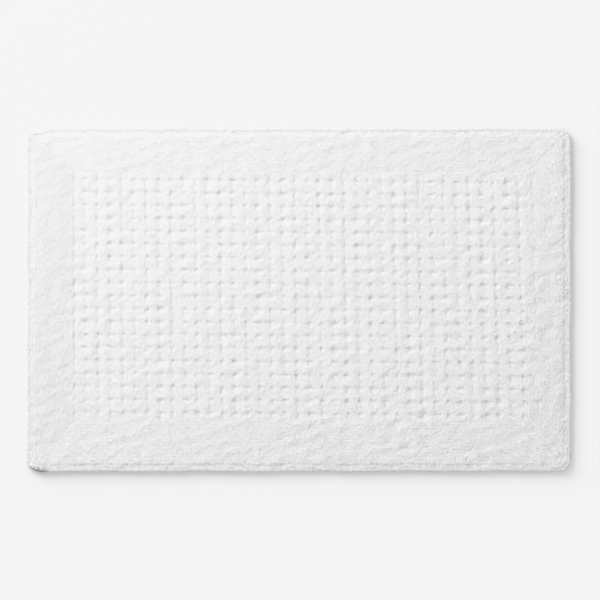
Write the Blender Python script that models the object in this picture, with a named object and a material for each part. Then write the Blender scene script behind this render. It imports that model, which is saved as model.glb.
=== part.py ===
"""A tufted cotton bath mat, 810 x 510 mm, with a dimpled field inside a plain border.

The frame has its origin at the middle of the underside, +X along the long side, +Y to the back
and +Z up. All lengths are in metres. "Inset" is the distance inwards from the mat's outer edge.

From the floor up: the rubbery back coat with the turned-under hems round it, the woven base cloth,
and the cotton pile that stands on the cloth. The hems are sewn down with one seam, whose needle
thread lies in a groove of the pile and whose bobbin thread lies in the hems' underside.
"""

import math

import bmesh
import bpy
from mathutils import Vector

# Driving dimensions
LENGTH = 0.810
WIDTH = 0.510
HEIGHT = 0.014
CORNER_RADIUS = 0.018
GAP = 0.0003

# Plain border, from the outer edge to the crease where the dimpled field begins
BORDER = {"front": 0.0727, "right": 0.0640, "back": 0.0644, "left": 0.0704}

# The dimpled field: a net of dimples between pillows of pile
DIMPLE_COLUMNS = 36
DIMPLE_ROWS = 19
DIMPLE_PITCH_X = 0.01857
DIMPLE_PITCH_Y = 0.01931
FIRST_DIMPLE = (-0.3191, -0.1696)
DIMPLE_DEPTH = 0.0050
SADDLE_DEPTH = 0.0014
FIELD_EDGE_DEPTH = 0.0020

# Layers, from the floor up
HEM_THICKNESS = 0.0012
CLOTH_THICKNESS = 0.0008
CLOTH_BOTTOM = HEM_THICKNESS + GAP
CLOTH_TOP = CLOTH_BOTTOM + CLOTH_THICKNESS
PILE_BOTTOM = CLOTH_TOP + GAP
BORDER_TOP = HEIGHT - 0.0006

# Edge, as insets
FOLD_INSET = 0.0040
FOLD_THICKNESS = 0.0008
SEAM_INSET = 0.0087
HEM_INNER_INSET = 0.0170
ROLL_INNER_INSET = 0.0080
BORDER_OUTER_INSET = 0.0094
BORDER_ROUNDING = 0.0025

# Threads
THREAD_DIAMETER = 0.0006
THREAD_SIDES = 6
CHANNEL_WIDTH = 0.0012
CHANNEL_DEPTH = 0.0007

# Blank care label on the underside, sewn down along its short edge beside the left hem
LABEL_SIZE = (0.034, 0.018)
LABEL_THICKNESS = 0.0003
LABEL_OFFSET = 0.0020
LABEL_Y = -0.150
LABEL_RECESS = 0.0010
TACK_DIAMETER = 0.0003
TACK_INSET = 0.0020

ARC_STEPS = 4
MITRE_HALF_GAP = GAP / 2
SIDES = ("front", "right", "back", "left")
# Each side runs anticlockwise between two corners, from the first corner's mid-angle to the second's
SIDE_START_DEGREES = {"front": 225, "right": 315, "back": 45, "left": 135}

COTTON = (0.88, 0.88, 0.87, 1.0)
CLOTH = (0.80, 0.79, 0.75, 1.0)
LATEX = (0.78, 0.76, 0.70, 1.0)
THREAD = (0.86, 0.86, 0.84, 1.0)
SATIN = (0.90, 0.90, 0.89, 1.0)


def clear_scene():
    for scene_object in list(bpy.data.objects):
        bpy.data.objects.remove(scene_object, do_unlink=True)


def material(name, color, roughness):
    new_material = bpy.data.materials.new(name)
    new_material.use_nodes = True
    shader = new_material.node_tree.nodes["Principled BSDF"]
    shader.inputs["Base Color"].default_value = color
    shader.inputs["Roughness"].default_value = roughness
    shader.inputs["Metallic"].default_value = 0.0
    return new_material


def add_object(name, mesh_builder, color, roughness, smooth=False):
    """A named object of its own mesh and material, with its faces pointing out."""
    bmesh.ops.recalc_face_normals(mesh_builder, faces=mesh_builder.faces)
    mesh = bpy.data.meshes.new(name)
    mesh_builder.to_mesh(mesh)
    mesh_builder.free()
    mesh.materials.append(material(name, color, roughness))
    new_object = bpy.data.objects.new(name, mesh)
    bpy.context.scene.collection.objects.link(new_object)
    if smooth:
        mesh.shade_smooth()
        mesh.set_sharp_from_angle(angle=math.radians(40))
    return new_object


def corner_centre(degrees):
    """Centre of the corner arc that lies in this direction from the mat's middle."""
    angle = math.radians(degrees)
    return Vector((
        math.copysign(LENGTH / 2 - CORNER_RADIUS, math.cos(angle)),
        math.copysign(WIDTH / 2 - CORNER_RADIUS, math.sin(angle)),
    ))


def half_arc(corner_degrees, first, last, inset):
    """Points of a corner arc at this inset, between two angles in degrees."""
    radius = CORNER_RADIUS - inset
    centre = corner_centre(corner_degrees)
    points = []
    for step in range(ARC_STEPS + 1):
        angle = math.radians(first + (last - first) * step / ARC_STEPS)
        points.append(centre + radius * Vector((math.cos(angle), math.sin(angle))))
    return points


def side_path(side, inset):
    """One side of the mat's outline at this inset, between the mitres at its two corners."""
    start = SIDE_START_DEGREES[side]
    end = start + 90
    shift = math.degrees(math.asin(MITRE_HALF_GAP / (CORNER_RADIUS - inset)))
    return half_arc(start, start + shift, start + 45, inset) + half_arc(end, end - 45, end - shift, inset)


def closed_outline(inset):
    """The whole outline at this inset, anticlockwise."""
    points = []
    for side in SIDES:
        start = SIDE_START_DEGREES[side]
        points += half_arc(start, start, start + 45, inset)
        points += half_arc(start + 90, start + 45, start + 90, inset)[:-1]
    return points


def sweep(section, path_at, closed):
    """A solid whose section, a polygon of (inset, height), follows the path of each inset."""
    mesh_builder = bmesh.new()
    rails = []
    for inset, height in section:
        rails.append([mesh_builder.verts.new((point.x, point.y, height)) for point in path_at(inset)])
    stations = len(rails[0])
    for index, rail in enumerate(rails):
        next_rail = rails[(index + 1) % len(rails)]
        for station in range(stations if closed else stations - 1):
            ahead = (station + 1) % stations
            mesh_builder.faces.new((rail[station], rail[ahead], next_rail[ahead], next_rail[station]))
    if not closed:
        mesh_builder.faces.new([rail[0] for rail in rails])
        mesh_builder.faces.new([rail[-1] for rail in rails])
    return mesh_builder


def plate(outline, bottom, top):
    """A flat plate with this outline, a list of 2-D points."""
    mesh_builder = bmesh.new()
    low = [mesh_builder.verts.new((point[0], point[1], bottom)) for point in outline]
    high = [mesh_builder.verts.new((point[0], point[1], top)) for point in outline]
    mesh_builder.faces.new(low)
    mesh_builder.faces.new(high)
    for index in range(len(outline)):
        ahead = (index + 1) % len(outline)
        mesh_builder.faces.new((low[index], low[ahead], high[ahead], high[index]))
    return mesh_builder


def bevel_edges(mesh_builder, wanted, width, segments):
    """Rounds the edges for which wanted, a test of an edge's two ends, is true."""
    edges = [edge for edge in mesh_builder.edges if wanted(edge.verts[0].co, edge.verts[1].co)]
    bmesh.ops.bevel(mesh_builder, geom=edges, offset=width, segments=segments, affect="EDGES", profile=0.5)


def field_box():
    """The dimpled field's corners, low and high, on the creases."""
    low = Vector((-LENGTH / 2 + BORDER["left"], -WIDTH / 2 + BORDER["front"]))
    high = Vector((LENGTH / 2 - BORDER["right"], WIDTH / 2 - BORDER["back"]))
    return low, high


def grid_lines(low, high, first, pitch, count):
    """Lines through the dimples' centres and half-way between them, from edge to edge."""
    lines = [low]
    for index in range(count):
        lines.append(first + index * pitch)
        lines.append(first + (index + 0.5) * pitch)
    lines[-1] = high
    return lines


def field_height(column, row, last_column, last_row):
    """Dimples lie on odd lines, pillows on even ones, and saddles between two dimples."""
    if column in (0, last_column) or row in (0, last_row):
        return HEIGHT - FIELD_EDGE_DEPTH
    if column % 2 and row % 2:
        return HEIGHT - DIMPLE_DEPTH
    if column % 2 or row % 2:
        return HEIGHT - SADDLE_DEPTH
    return HEIGHT


def add_grid_top(mesh_builder, columns, rows):
    """The dimpled top, as a list of rows of vertices."""
    top = []
    for row, y in enumerate(rows):
        line = []
        for column, x in enumerate(columns):
            height = field_height(column, row, len(columns) - 1, len(rows) - 1)
            line.append(mesh_builder.verts.new((x, y, height)))
        top.append(line)
    for row in range(len(rows) - 1):
        for column in range(len(columns) - 1):
            corners = (top[row][column], top[row][column + 1], top[row + 1][column + 1], top[row + 1][column])
            # The diagonal always leaves the dimple, so that each dimple is a round hollow
            turn = 1 if (row + column) % 2 else 0
            mesh_builder.faces.new((corners[turn], corners[turn + 1], corners[turn + 2]))
            mesh_builder.faces.new((corners[turn], corners[turn + 2], corners[(turn + 3) % 4]))
    return top


def make_pile_field():
    low, high = field_box()
    margin = Vector((GAP / 2, GAP / 2))
    low, high = low + margin, high - margin
    columns = grid_lines(low.x, high.x, FIRST_DIMPLE[0], DIMPLE_PITCH_X, DIMPLE_COLUMNS)
    rows = grid_lines(low.y, high.y, FIRST_DIMPLE[1], DIMPLE_PITCH_Y, DIMPLE_ROWS)
    mesh_builder = bmesh.new()
    top = add_grid_top(mesh_builder, columns, rows)
    rim = top[0] + [line[-1] for line in top[1:]] + top[-1][-2::-1] + [line[0] for line in top[-2:0:-1]]
    foot = [
        mesh_builder.verts.new((x, y, PILE_BOTTOM))
        for x, y in ((low.x, low.y), (high.x, low.y), (high.x, high.y), (low.x, high.y))
    ]
    starts = (0, len(columns) - 1, len(columns) + len(rows) - 2, 2 * len(columns) + len(rows) - 3)
    for side, start in enumerate(starts):
        end = starts[(side + 1) % 4] or len(rim)
        wall = [rim[index % len(rim)] for index in range(start, end + 1)]
        mesh_builder.faces.new([foot[(side + 1) % 4], foot[side]] + wall)
    mesh_builder.faces.new(foot)
    add_object("pile_field", mesh_builder, COTTON, 0.95)


def line_meet(point, direction, other, other_direction):
    """Where two lines in the plane cross."""
    cross = direction.x * other_direction.y - direction.y * other_direction.x
    between = other - point
    along = (between.x * other_direction.y - between.y * other_direction.x) / cross
    return point + along * direction


def field_corner(degrees):
    low, high = field_box()
    angle = math.radians(degrees)
    return Vector((high.x if math.cos(angle) > 0 else low.x, high.y if math.sin(angle) > 0 else low.y))


def border_outline(side):
    """A plain border strip's outline: its outer edge with two rounded corners, and two mitres."""
    outer = side_path(side, BORDER_OUTER_INSET)
    start = SIDE_START_DEGREES[side]
    first_corner, last_corner = field_corner(start), field_corner(start + 90)
    inner = first_corner - last_corner
    outwards = Vector((-inner.y, inner.x)).normalized()
    inner_point = first_corner + outwards * GAP / 2
    ends = []
    for outer_point, corner in ((outer[0], first_corner), (outer[-1], last_corner)):
        ends.append(line_meet(outer_point, corner - outer_point, inner_point, inner))
    return outer + [ends[1], ends[0]]


def make_pile_borders():
    for side in SIDES:
        mesh_builder = plate(border_outline(side), PILE_BOTTOM, BORDER_TOP)
        bmesh.ops.recalc_face_normals(mesh_builder, faces=mesh_builder.faces)
        inner_points = border_outline(side)[-2:]

        def is_outer_or_inner_top(first, last, inner_points=inner_points):
            on_top = min(first.z, last.z) > BORDER_TOP - 1e-6
            touches = [min((end.xy - point).length for point in inner_points) < 1e-6 for end in (first, last)]
            return on_top and touches[0] == touches[1]

        bevel_edges(mesh_builder, is_outer_or_inner_top, BORDER_ROUNDING, 3)
        add_object("pile_border_" + side, mesh_builder, COTTON, 0.95, smooth=True)


def make_edge_rolls():
    """The outermost tufts, which lean out over the fold and make a round rim."""
    outside = FOLD_INSET - GAP
    section = (
        (outside, 0.0008), (0.0022, 0.0009), (0.0009, 0.0022), (0.00015, 0.0046), (0.0, 0.0072),
        (0.0005, 0.0100), (0.0019, 0.0122), (0.0042, 0.0132), (0.0063, 0.0126), (0.0076, 0.0109),
        (ROLL_INNER_INSET, 0.0085), (ROLL_INNER_INSET, PILE_BOTTOM), (outside, PILE_BOTTOM),
    )
    for side in SIDES:
        mesh_builder = sweep(section, lambda inset: side_path(side, inset), closed=False)
        add_object("edge_roll_" + side, mesh_builder, COTTON, 0.95, smooth=True)


def make_hems():
    """The cloth's margins: folded down at the edge and turned under, with a channel for the seam."""
    fold_inside = FOLD_INSET + FOLD_THICKNESS
    channel_outer = SEAM_INSET - CHANNEL_WIDTH / 2
    channel_inner = SEAM_INSET + CHANNEL_WIDTH / 2
    section = (
        (FOLD_INSET + 0.0004, 0.0), (FOLD_INSET, 0.0004), (FOLD_INSET, CLOTH_TOP),
        (fold_inside, CLOTH_TOP), (fold_inside, HEM_THICKNESS), (HEM_INNER_INSET, HEM_THICKNESS),
        (HEM_INNER_INSET, 0.0), (channel_inner, 0.0), (channel_inner, CHANNEL_DEPTH),
        (channel_outer, CHANNEL_DEPTH), (channel_outer, 0.0),
    )
    for side in SIDES:
        mesh_builder = sweep(section, lambda inset: side_path(side, inset), closed=False)
        add_object("hem_" + side, mesh_builder, CLOTH, 0.9)


def make_base_cloth():
    outline = closed_outline(FOLD_INSET + FOLD_THICKNESS + GAP)
    add_object("base_cloth", plate(outline, CLOTH_BOTTOM, CLOTH_TOP), CLOTH, 0.9)


def label_box():
    """The label's corners in plan, low and high."""
    low = Vector((-LENGTH / 2 + HEM_INNER_INSET + LABEL_OFFSET, LABEL_Y))
    return low, low + Vector(LABEL_SIZE)


def box_cutter(name, low, high):
    """A guide that is cut out of the back coat and isn't a piece of the mat."""
    corners = ((low[0], low[1]), (high[0], low[1]), (high[0], high[1]), (low[0], high[1]))
    cutter = add_object(name, plate(corners, low[2], high[2]), LATEX, 0.8)
    cutter.hide_render = True
    cutter.display_type = "WIRE"
    return cutter


def make_back_coat():
    inset = HEM_INNER_INSET + GAP
    half_x, half_y = LENGTH / 2 - inset, WIDTH / 2 - inset
    outline = ((-half_x, -half_y), (half_x, -half_y), (half_x, half_y), (-half_x, half_y))
    coat = add_object("back_coat", plate(outline, 0.0, HEM_THICKNESS), LATEX, 0.8)
    low, high = label_box()
    cutter = box_cutter(
        "label_recess_cutter", (low.x - GAP, low.y - GAP, -0.001), (high.x + GAP, high.y + GAP, LABEL_RECESS))
    cut = coat.modifiers.new("label_recess", "BOOLEAN")
    cut.operation = "DIFFERENCE"
    cut.solver = "EXACT"
    cut.object = cutter


def thread_section(inset, height, diameter):
    """A round thread's section, about the point at this inset and height."""
    points = []
    for index in range(THREAD_SIDES):
        angle = math.tau * index / THREAD_SIDES
        points.append((inset + diameter / 2 * math.cos(angle), height + diameter / 2 * math.sin(angle)))
    return points


def make_seam_threads():
    """The lockstitch's two threads, each one closed run round the mat."""
    heights = {
        "needle_thread": PILE_BOTTOM + THREAD_DIAMETER / 2,
        "bobbin_thread": CHANNEL_DEPTH / 2,
    }
    for name, height in heights.items():
        section = thread_section(SEAM_INSET, height, THREAD_DIAMETER)
        add_object(name, sweep(section, closed_outline, closed=True), THREAD, 0.7, smooth=True)


def make_label():
    """A blank label in its recess, and the short row of stitches that holds it."""
    low, high = label_box()
    top = LABEL_RECESS - GAP
    bottom = top - LABEL_THICKNESS
    corners = ((low.x, low.y), (high.x, low.y), (high.x, high.y), (low.x, high.y))
    add_object("care_label", plate(corners, bottom, top), SATIN, 0.5)
    mesh_builder = bmesh.new()
    bmesh.ops.create_cone(
        mesh_builder, cap_ends=True, segments=THREAD_SIDES, radius1=TACK_DIAMETER / 2,
        radius2=TACK_DIAMETER / 2, depth=LABEL_SIZE[1])
    tack = add_object("label_tack", mesh_builder, THREAD, 0.7)
    tack.rotation_euler = (math.radians(90), 0.0, 0.0)
    tack.location = (low.x + TACK_INSET, (low.y + high.y) / 2, bottom / 2)


def main():
    clear_scene()
    make_back_coat()
    make_hems()
    make_base_cloth()
    make_pile_field()
    make_pile_borders()
    make_edge_rolls()
    make_seam_threads()
    make_label()


main()
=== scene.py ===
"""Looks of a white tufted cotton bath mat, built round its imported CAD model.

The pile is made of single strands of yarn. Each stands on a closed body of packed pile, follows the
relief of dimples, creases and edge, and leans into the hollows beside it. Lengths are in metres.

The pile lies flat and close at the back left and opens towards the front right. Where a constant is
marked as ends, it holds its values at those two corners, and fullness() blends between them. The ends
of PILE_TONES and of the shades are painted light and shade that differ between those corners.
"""

import math

import bpy
import numpy as np
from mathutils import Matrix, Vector


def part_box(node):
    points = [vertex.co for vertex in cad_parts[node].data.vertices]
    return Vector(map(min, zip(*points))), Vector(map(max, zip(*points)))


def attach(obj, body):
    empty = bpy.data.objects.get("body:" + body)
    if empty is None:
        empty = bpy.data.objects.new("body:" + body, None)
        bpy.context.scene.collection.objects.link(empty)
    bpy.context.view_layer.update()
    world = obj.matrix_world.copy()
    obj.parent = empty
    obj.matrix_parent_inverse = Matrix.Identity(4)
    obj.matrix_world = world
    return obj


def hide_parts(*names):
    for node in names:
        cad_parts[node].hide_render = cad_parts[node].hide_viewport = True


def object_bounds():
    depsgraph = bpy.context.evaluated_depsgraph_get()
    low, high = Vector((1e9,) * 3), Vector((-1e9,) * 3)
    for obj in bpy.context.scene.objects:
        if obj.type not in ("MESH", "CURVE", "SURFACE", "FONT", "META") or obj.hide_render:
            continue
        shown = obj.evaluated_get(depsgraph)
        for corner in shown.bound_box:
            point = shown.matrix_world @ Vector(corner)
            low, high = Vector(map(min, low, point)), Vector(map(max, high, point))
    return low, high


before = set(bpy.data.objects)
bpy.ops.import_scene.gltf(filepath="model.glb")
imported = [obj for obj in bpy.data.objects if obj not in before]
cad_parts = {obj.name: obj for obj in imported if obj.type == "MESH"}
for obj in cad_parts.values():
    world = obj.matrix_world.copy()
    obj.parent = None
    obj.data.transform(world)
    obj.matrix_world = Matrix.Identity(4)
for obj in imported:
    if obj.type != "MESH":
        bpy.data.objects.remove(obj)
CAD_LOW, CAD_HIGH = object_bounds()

SEED = 20
SIDES = ("front", "right", "back", "left")

# Dimples of the field, in columns that are narrow and wide in turn. The net is slightly tighter at the
# left and the back than at the far ends, and it lies a little skewed.
DIMPLE_COLUMNS = 36
DIMPLE_ROWS = 19
FIRST_DIMPLE = (-0.3177, -0.1713)
DIMPLE_PITCH = (0.01857, 0.01931)
PITCH_DRIFT = (0.0000130, -0.0000130)
GRID_SHIFT = 0.0007
GRID_SKEW = (0.016, 0.0085)
GRID_TWIST = 0.033
WIDE_DIMPLE = (0.0049, 0.0031)
NARROW_DIMPLE = (0.0032, 0.0034)
DIMPLE_DEPTH = 0.0020
DEPTH_FROM_LEFT_TO_RIGHT = (0.90, 1.22)
DEPTH_FROM_FRONT_TO_BACK = (1.10, 0.96)
DIMPLE_JITTER = 0.0004
DEPTH_SPREAD = 0.09
SIZE_SPREAD = 0.08
TURN_SPREAD = 0.16

# Slits at the left and right ends of the field: shares of a dimple's depth and turn, place and size
SLIT_DEPTHS = (0.90, 0.45)
SLIT_TURN = 0.4
SLIT_SHIFT = 0.0020
SLIT_SIZE = (0.0022, 0.0046)

# Shallow lanes between the dimples, along the columns and across them
LANE_DEPTH = 0.0005
LANE_WIDTH = 0.0034
CROSS_DEPTH = 0.0003
CROSS_WIDTH = 0.0030
FIELD_FADE = 0.004

# Creases round the field (ends), and from its corners to those of the mat
CREASE_DEPTHS = (0.0001, 0.0005)
CREASE_WIDTH = 0.0030
MITRE_DEPTHS = {(-1, -1): 0.0003, (1, -1): 0.0006, (1, 1): 0.0006, (-1, 1): 0.0004}
MITRE_WIDTH = 0.0022
MITRE_END_INSET = 0.004

# The groove that the seam pulls into the pile behind the edge roll. Its depths are ends.
GROOVE_INSET = 0.0064
GROOVE_WIDTH = 0.0036
GROOVE_DEPTHS = (0.0020, 0.0019)
GROOVE_CORNER_LOSS = 0.65
GROOVE_CORNER_REACH = 0.040
OUTLINE_ROUNDING = 0.012

# Noises, as height, scale and seed. Strengths are a noise's middle and its limits; wave shares are ends.
NOISE_OCTAVES = 2
NOISE_WAVES = 4
NOISE_PITCH_SPREAD = (0.7, 1.4)
WAVES = ((0.0005, 0.09, 3), (0.0004, 0.045, 4), (0.0007, 0.020, 5))
WAVE_SHARES = (0.7, 1.3)
LANE_SWAY = (0.0007, 0.020, 5)
LANE_BREAKS = (1.3, 0.030, 6)
CROSS_BREAKS = (1.3, 0.030, 7)
CREASE_SWAY = (0.0010, 0.025, 10)
CREASE_BREAKS = (1.6, 0.022, 8)
CREASE_STRENGTH = (0.2, (0, 1.4))
MITRE_SWAY = (0.0015, 0.030, 12)
MITRE_BREAKS = (1.2, 0.030, 11)
MITRE_STRENGTH = (0.5, (0, 1.6))
GROOVE_BREAKS = (0.35, 0.014, 13)
GROOVE_STRENGTH = (1.0, (0.5, 1.5))
FIELD_ROW_WANDER = (0.0004, 0.030, 9)
BORDER_ROW_WANDER = (0.0009, 0.018, 17)
DOME_BREAKS = (0.9, 0.020, 21)
ROLL_BUNDLE_WANDER = (0.3, 0.020, 14)
ROLL_PATCHES = (1.0, 0.012, 15)
HEM_WAVE = (0.00010, 0.018, 15)
BACK_STITCH_SPREAD = (0.20, 0.012, 16)

# Tufts: one tuft is a bundle of strands in a row that runs along Y in the field and round the border
FIELD_GAUGE = 0.0053
FIELD_STITCH = 0.0032
FIELD_BANDS = 6
BORDER_GAUGE = 0.0054
BORDER_STITCH = 0.0032
BORDER_START_INSET = 0.0044
BORDER_TUFT_TURN = 0.8
ROW_DIRECTION_STEP = 0.002
STRANDS_ACROSS = 3
STRANDS_ALONG = 2
STRANDS_PER_TUFT = STRANDS_ACROSS * STRANDS_ALONG
TUFT_DOME = (0.00026, 0.00014)

# Strands (all ends, down to the softness)
STRAND_JITTER = (0.00035, 0.00065)
STRAND_RADIUS = (0.00150, 0.00108)
STRAND_UNEVENNESS = (0.00004, 0.00036)
STRAND_TONES = (0.006, 0.014)
TUFT_UNEVENNESS = (0.00006, 0.00055)
TUFT_TONES = (0.004, 0.022)
DOME_SHARE = (0.25, 0.30)
# Painted light: the pile's tone is darker at the back left, near the lights, and paler at the front right,
# away from them
PILE_TONES = (0.777, 0.926)
# Painted shade: the pile's tone darkens with the depth of dimples, lanes, creases and mitres, between the
# limits of SHADED_DEPTHS
SHADE_PER_DEPTH = (21.0, 36.0)
BODY_BELOW_TIPS = (0.0011, 0.0020)
NORMAL_SOFTNESS = (10.0, 2.5)
FIELD_ROUGHNESS = 0.42
# Painted light and shade: the field's and each border's pile tone is shifted lighter or darker, piece by
# piece
FIELD_TONE = 0.03
SIDE_TONES = {"front": 0.025, "right": 0.008, "back": 0.012, "left": -0.04}
# Painted shade: the packed pile's bodies and the roll's core, seen between the strands, are darker than most
# strands
GROUND_TONE = 0.80
SHADED_DEPTHS = (0.0003, 0.0043)
STRAND_LENGTH = 0.0050
STRAND_BEND = 0.25
STRAND_RAGGEDNESS = (0.85, 1.2)
# Its two rings of corners: share of the length, share of the radius, and drop in radii
STRAND_RINGS = ((0.0, 0.75, 0.0), (1.0, 1.0, 0.55))
RADIUS_SPREAD = (0.82, 1.15)
LEAN_INTO_HOLLOW = 0.25
LEAN_SPREAD = 0.09
SLOPE_SHARE = 0.55
SLOPE_STEP = 0.0008
BODY_STEP = 0.003
BODY_STEPS_PER_DIMPLE = 8

# Outline: its corners' radii, and how far the two left ones are pulled in, as corner, reach and pull
CORNER_RADII = {(-1, -1): 0.004, (1, -1): 0.017, (1, 1): 0.018, (-1, 1): 0.007}
CORNER_PULLS = (((-1, 1), (0.045, 0.050), (0.0008, 0.0085)), ((-1, -1), (0.020, 0.040), (0.0, 0.0055)))
PULL_POWERS = (1.3, 1.5)
EDGE_SWAY_REACH = 0.030
# Waves of the edge, as height, waves per metre times tau, and phase
EDGE_WAVES = ((0.0005, 41, 1), (0.0003, 97, 3), (0.0002, 310, 5))
CORNER_SIGNS = {"front": ((-1, -1), (1, -1)), "right": ((1, -1), (1, 1)),
                "back": ((1, 1), (-1, 1)), "left": ((-1, 1), (-1, -1))}
START_ANGLE = {"front": 225, "right": 315, "back": 45, "left": 135}

# Edge roll. Its shades, depths, unevenness and lift are ends.
ROLL_CENTRE = (0.0022, 0.0067)
ROLL_HALF_SIZE = (0.0044, 0.0056)
ROLL_SQUARENESS = 2.6
ROLL_CORE_SHARE = 0.72
ROLL_CORE_SIDES = 12
ROLL_STATION = 0.0020
ROLL_STRANDS_ROUND = 10
ROLL_SPAN_DEGREES = (-62, 152)
ROLL_FOOT_SHARE = 0.35
ROLL_TIP_SHARE = 0.985
ROLL_LOWEST_TIP = 0.0008
ROLL_JITTER = (0.0004, 0.0005)  # of the strands' feet and of their tips
ROLL_TURN_JITTER = 0.10
ROLL_RADIUS_SPREAD = (0.75, 1.05)
ROLL_SOFTNESS = 0.9
ROLL_TONE = 0.89
ROLL_TONE_SPREAD = 0.03
# Painted light and shade on the roll's outer flank: lighter at the back left, darker at the front right
ROLL_FLANK_PAINTED_LIGHT_AND_SHADE = (-0.10, 0.50)
ROLL_FLANK_WIDTH = 0.8
ROLL_UNEVENNESS = (0.065, 0.040)
ROLL_NORMAL_LIFT = (2.6, 0.8)
ROLL_BUNDLE = 0.0041
ROLL_BUNDLE_DEPTH = (0.07, 0.18)
# Painted shade in the gaps between the roll's bundles
ROLL_BUNDLE_SHADE = (0.10, 0.30)
ROLL_PATCH_DEPTH = 0.06
# Painted shade where the roll's patches sink, and painted light where they rise
ROLL_PATCH_SHADE = 0.10

# The front left corner, where the rim is tucked under and its strands get a painted shade
TUCK_MIDDLE = 0.017
TUCK_LENGTH = 0.014
TUCK_TURN = 0.6
TUCK_TURN_WIDTH = 1.5
TUCK_PAINTED_SHADES = (0.4, 1.0)

# Seam and tack stitches
SEAM_INSET = 0.0087
STITCH_LENGTH = 0.0031
STITCH_SHARE = 0.84
FIRST_STITCH = 0.3
STITCH_RINGS = 7
STITCH_SIDES = 6
STITCH_THINNING = 0.3
THREAD_RADIUS = 0.00025
# Each thread's ends lie this far from its node's lowest or highest point, and its stitches bow by this
NEEDLE_STITCH = (-0.0003, 0.0006)
BOBBIN_STITCH = (0.0001, -0.00042)
TACK_STITCH = 0.0022
TACK_RADIUS = 0.00015
TACK_INSET = 0.0020
TACK_START = 0.0004
TACK_RISE = -0.00018

# The hem's section, as insets and heights: its outer fold, the tongue over the cloth, its turned-under
# inner edge, and the channel that the seam pulls into its underside
HEM_SECTION = (
    (0.0050, 0.00005), (0.0043, 0.00035), (0.0040, 0.0010), (0.0040, 0.0019), (0.0043, 0.0023),
    (0.0047, 0.0022), (0.0049, 0.0015), (0.0054, 0.0012), (0.0110, 0.0012), (0.0163, 0.0012),
    (0.0169, 0.0009), (0.0170, 0.0005), (0.0168, 0.00015), (0.0162, 0.00003), (0.0140, 0.00002),
    (0.0120, 0.00003), (0.0104, 0.00005), (0.0095, 0.00015), (0.0091, 0.00050), (0.0087, 0.00066),
    (0.0083, 0.00050), (0.0079, 0.00015), (0.0070, 0.00004), (0.0060, 0.00002),
)
HEM_STATION = 0.0010
HEM_PUCKER = 0.00022
HEM_PUCKER_WIDTH = 0.0045
HEM_UNDERSIDE = 0.0008

# Base cloth, back coat and label
CLOTH_RINGS = 40
OUTLINE_STEP = 0.010
COAT_GRID = (0.0016, 0.00107)
COAT_RELIEF = 0.00055
BACK_STITCH_HALF = (0.44, 0.49)
BACK_STITCH_HEIGHT = 0.80
RECESS_HEIGHT = 0.0010
RECESS_GAP = 0.0003
RECESS_WALL = 0.00003
LABEL_GRID = (35, 19)
LABEL_WAVE = 0.00012
LABEL_WAVES = (420, 160)

# Yarns of the woven pieces
CLOTH_YARN_PITCH = 0.0011
THREAD_TWIST_PITCH = 0.00055
SATIN_YARN_PITCH = 0.00035

HALF_X = CAD_HIGH.x
HALF_Y = CAD_HIGH.y
TOP = CAD_HIGH.z
FIELD_LOW, FIELD_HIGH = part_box("pile_field")
PILE_BOTTOM = FIELD_LOW.z

# Stage. The floor is paler away from the lights, which evens it, and far away it glows like the wall.
CAMERA_VIEW_WIDTH = 0.8967
CAMERA_OFFSET = (0.0022, -0.0007)
FLOOR_SIZE = 40.0
FLOOR_TONE = 0.85
FLOOR_GRADIENT = (0.09, -0.15, 0.0)
FLOOR_GRADIENT_LIMIT = 0.16
FAR_FLOOR = (1.2, 5.0)
FAR_FLOOR_GLOW = 0.5
# The wall's and the ceiling's heights, as directions, and tones
ROOM = ((0.04, 1.0), (0.30, 0.55))
# Lights: place, target, size and power
LIGHTS = {
    "key": ((-1.64, 1.96, 1.85), (1.5, 1.0, 0.0), 1.9, 65.3),
    "low": ((-2.9, 2.6, 1.05), (0.4, -0.2, 0.0), 1.2, 20.0),
}
TONE_CURVE = (
    (0.20, 0.27), (0.407, 0.55), (0.565, 0.745), (0.70, 0.862), (0.76, 0.905), (0.80, 0.9131), (1.0, 0.9131),
)

rng = np.random.default_rng(SEED)


# -------------------- meshes

def unit(vectors):
    """The same directions, one unit long."""
    return vectors / np.maximum(np.linalg.norm(vectors, axis=1, keepdims=True), 1e-6)


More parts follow.
